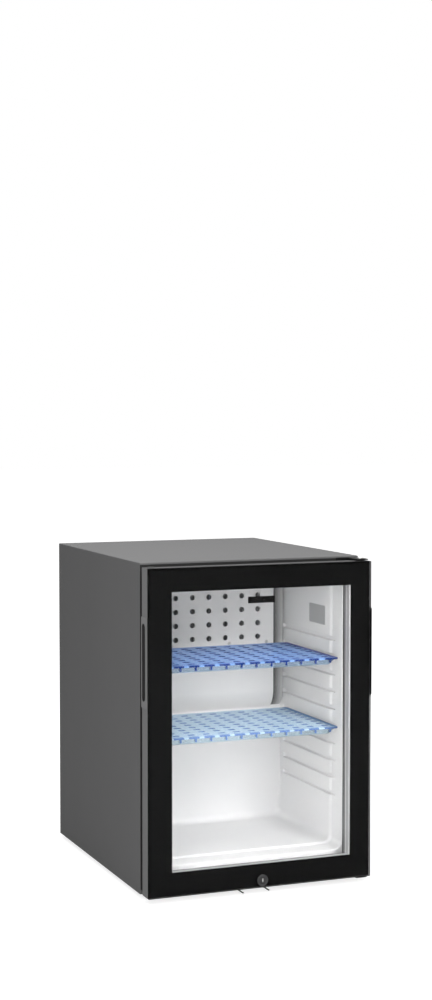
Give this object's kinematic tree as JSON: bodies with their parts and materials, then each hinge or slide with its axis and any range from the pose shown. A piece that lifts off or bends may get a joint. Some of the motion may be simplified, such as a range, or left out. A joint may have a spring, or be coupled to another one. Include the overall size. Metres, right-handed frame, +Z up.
{
  "type": "minibar fridge",
  "caption": "Small free-standing refrigerator with a dark steel case, a lockable glass door, slotted blue shelves and an absorption cooling unit at the back.",
  "frame": {"origin": "on the floor, under the centre of the whole object's bounding box", "axes": "+X to the right as seen from the front, +Y from the door to the back, +Z up"},
  "size_m": [0.407, 0.511, 0.56],
  "materials": {
    "case_paint": "semi-gloss",
    "black_steel": "satin",
    "galvanised": "dull galvanised",
    "foam": "foamed",
    "liner": "smooth",
    "cover_paint": "smooth",
    "aluminium": "satin",
    "zinc": "zinc plated",
    "lens": "frosted",
    "clear_glass": "polished",
    "glass_print": "enamel",
    "door_plastic": "fine grain",
    "seal": "matt",
    "black_plastic": "moulded",
    "shelf_plastic": "clear blue",
    "foot_rubber": "matt"
  },
  "bodies": {
    "cabinet": {"outer_wrap": "case_paint", "base_panel": "black_steel", "upper_hinge_bracket": "black_steel", "lower_hinge_bracket": "black_steel", "strike_bracket": "black_steel", "condenser_tube": "black_steel", "return_tube": "black_steel", "absorber_coil": "black_steel", "absorber_vessel": "black_steel", "solution_tube": "black_steel", "back_panel": "galvanised", "upper_unit_rail": "galvanised", "lower_unit_rail": "galvanised", "boiler_casing": "galvanised", "insulation_foam": "foam", "inner_liner": "liner", "drip_channel": "liner", "lamp_housing": "liner", "condensate_cup": "liner", "evaporator_cover": "cover_paint", "evaporator_fins": "aluminium", "condenser_fins": "aluminium", "cover_screw_1": "zinc", "cover_screw_2": "zinc", "cover_screw_3": "zinc", "cover_screw_4": "zinc", "upper_inner_hinge_screw": "zinc", "upper_outer_hinge_screw": "zinc", "lower_inner_hinge_screw": "zinc", "lower_outer_hinge_screw": "zinc", "upper_hinge_pin": "zinc", "lower_hinge_pin": "zinc", "heater_cartridge": "zinc", "lamp_lens": "lens", "drain_tube": "black_plastic", "control_box": "black_plastic", "cable_gland": "black_plastic", "front_left_foot": "foot_rubber", "front_right_foot": "foot_rubber", "rear_left_foot": "foot_rubber", "rear_right_foot": "foot_rubber"},
    "door": {"door_frame": "door_plastic", "front_glass": "clear_glass", "border_print": "glass_print", "glass_spacer": "aluminium", "inner_glass": "clear_glass", "door_gasket": "seal", "left_grip": "door_plastic", "right_grip": "door_plastic", "upper_bush": "black_plastic", "lower_bush": "black_plastic", "upper_blanking_plug": "black_plastic", "lower_blanking_plug": "black_plastic", "lock_barrel": "zinc"},
    "lock": {"lock_plug": "zinc", "lock_cam": "zinc", "cam_screw": "zinc"},
    "upper_shelf": {"upper_shelf": "shelf_plastic"},
    "lower_shelf": {"lower_shelf": "shelf_plastic"}
  },
  "joints": [
    {"name": "door_hinge", "type": "hinge", "parent": "cabinet", "child": "door", "pos_m": [0.19, -0.233, 0.2825], "axis": [0, 0, 1], "range_deg": [0, 120]},
    {"name": "lock_turn", "type": "hinge", "parent": "door", "child": "lock", "pos_m": [0, -0.2163, 0.0244], "axis": [0, 1, 0], "range_deg": [0, 90]},
    {"name": "upper_shelf_slide", "type": "slide", "parent": "cabinet", "child": "upper_shelf", "axis": [0, -1, 0], "range_m": [0, 0.012]},
    {"name": "lower_shelf_slide", "type": "slide", "parent": "cabinet", "child": "lower_shelf", "axis": [0, -1, 0], "range_m": [0, 0.012]}
  ]
}
